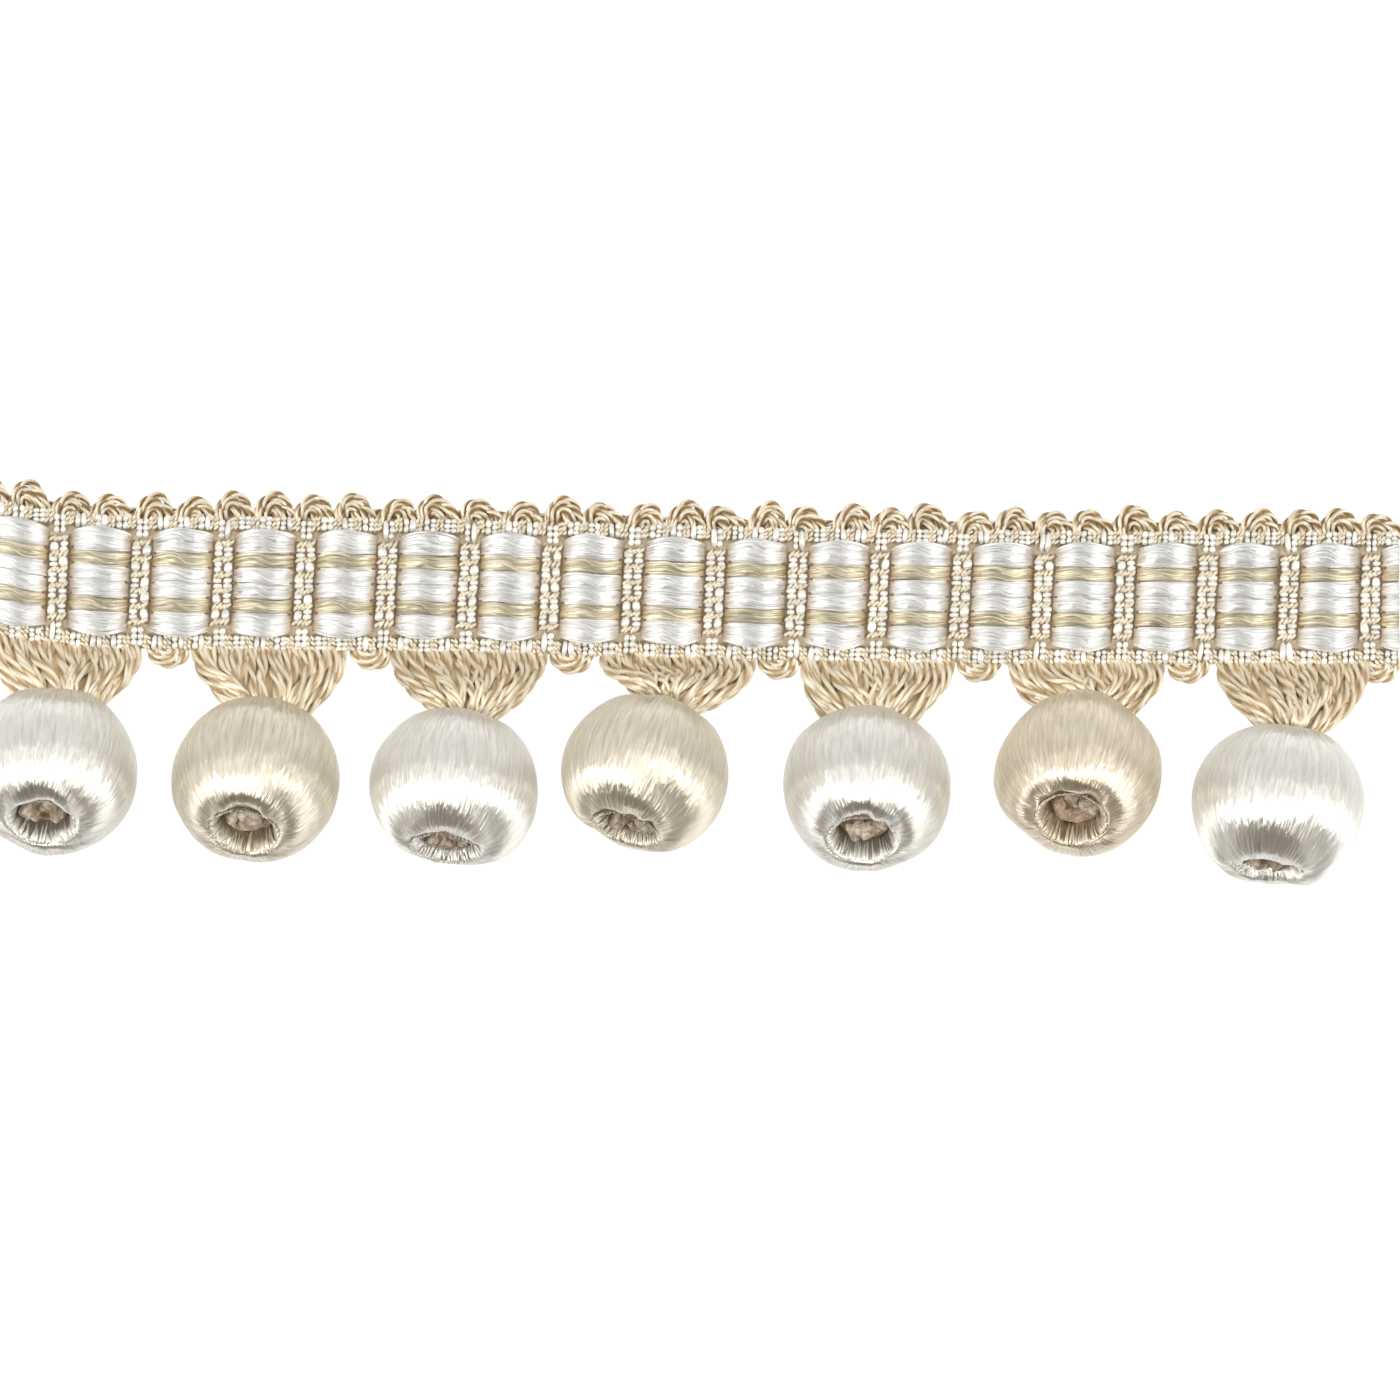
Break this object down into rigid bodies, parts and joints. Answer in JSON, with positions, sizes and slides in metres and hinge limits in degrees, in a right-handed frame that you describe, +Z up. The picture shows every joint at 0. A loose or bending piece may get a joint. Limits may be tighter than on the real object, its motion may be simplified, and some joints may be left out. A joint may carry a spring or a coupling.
{
  "type": "beaded fringe trim",
  "caption": "Furnishing trim: a woven satin heading with a looped cord edge and bundles of twisted cord, each drawn through a ball bead wound with floss.",
  "frame": {"origin": "middle of the heading's flat back face, half-way along the trim", "axes": "+X along the trim, +Y across it towards the picots, so the beads lie towards -Y, and +Z up from the surface it lies on, out of the heading's face"},
  "size_m": [0.215, 0.0611, 0.0254],
  "materials": {
    "satin_tape": "satin floats in white and khaki over a woven ground",
    "twisted_cord": "cream two-ply twisted cord with a soft sheen",
    "white_floss": "fine white satin floss wound from hole to hole",
    "ivory_floss": "fine ivory satin floss wound from hole to hole",
    "cream_floss": "fine cream satin floss wound from hole to hole"
  },
  "bodies": {
    "root": {"heading": "satin_tape", "picot_edge": "twisted_cord", "skirt_1": "twisted_cord", "ball_1": "white_floss", "skirt_2": "twisted_cord", "ball_2": "ivory_floss", "skirt_3": "twisted_cord", "ball_3": "white_floss", "skirt_4": "twisted_cord", "ball_4": "ivory_floss", "skirt_5": "twisted_cord", "ball_5": "white_floss", "skirt_6": "twisted_cord", "ball_6": "cream_floss", "skirt_7": "twisted_cord", "ball_7": "white_floss"}
  },
  "joints": []
}
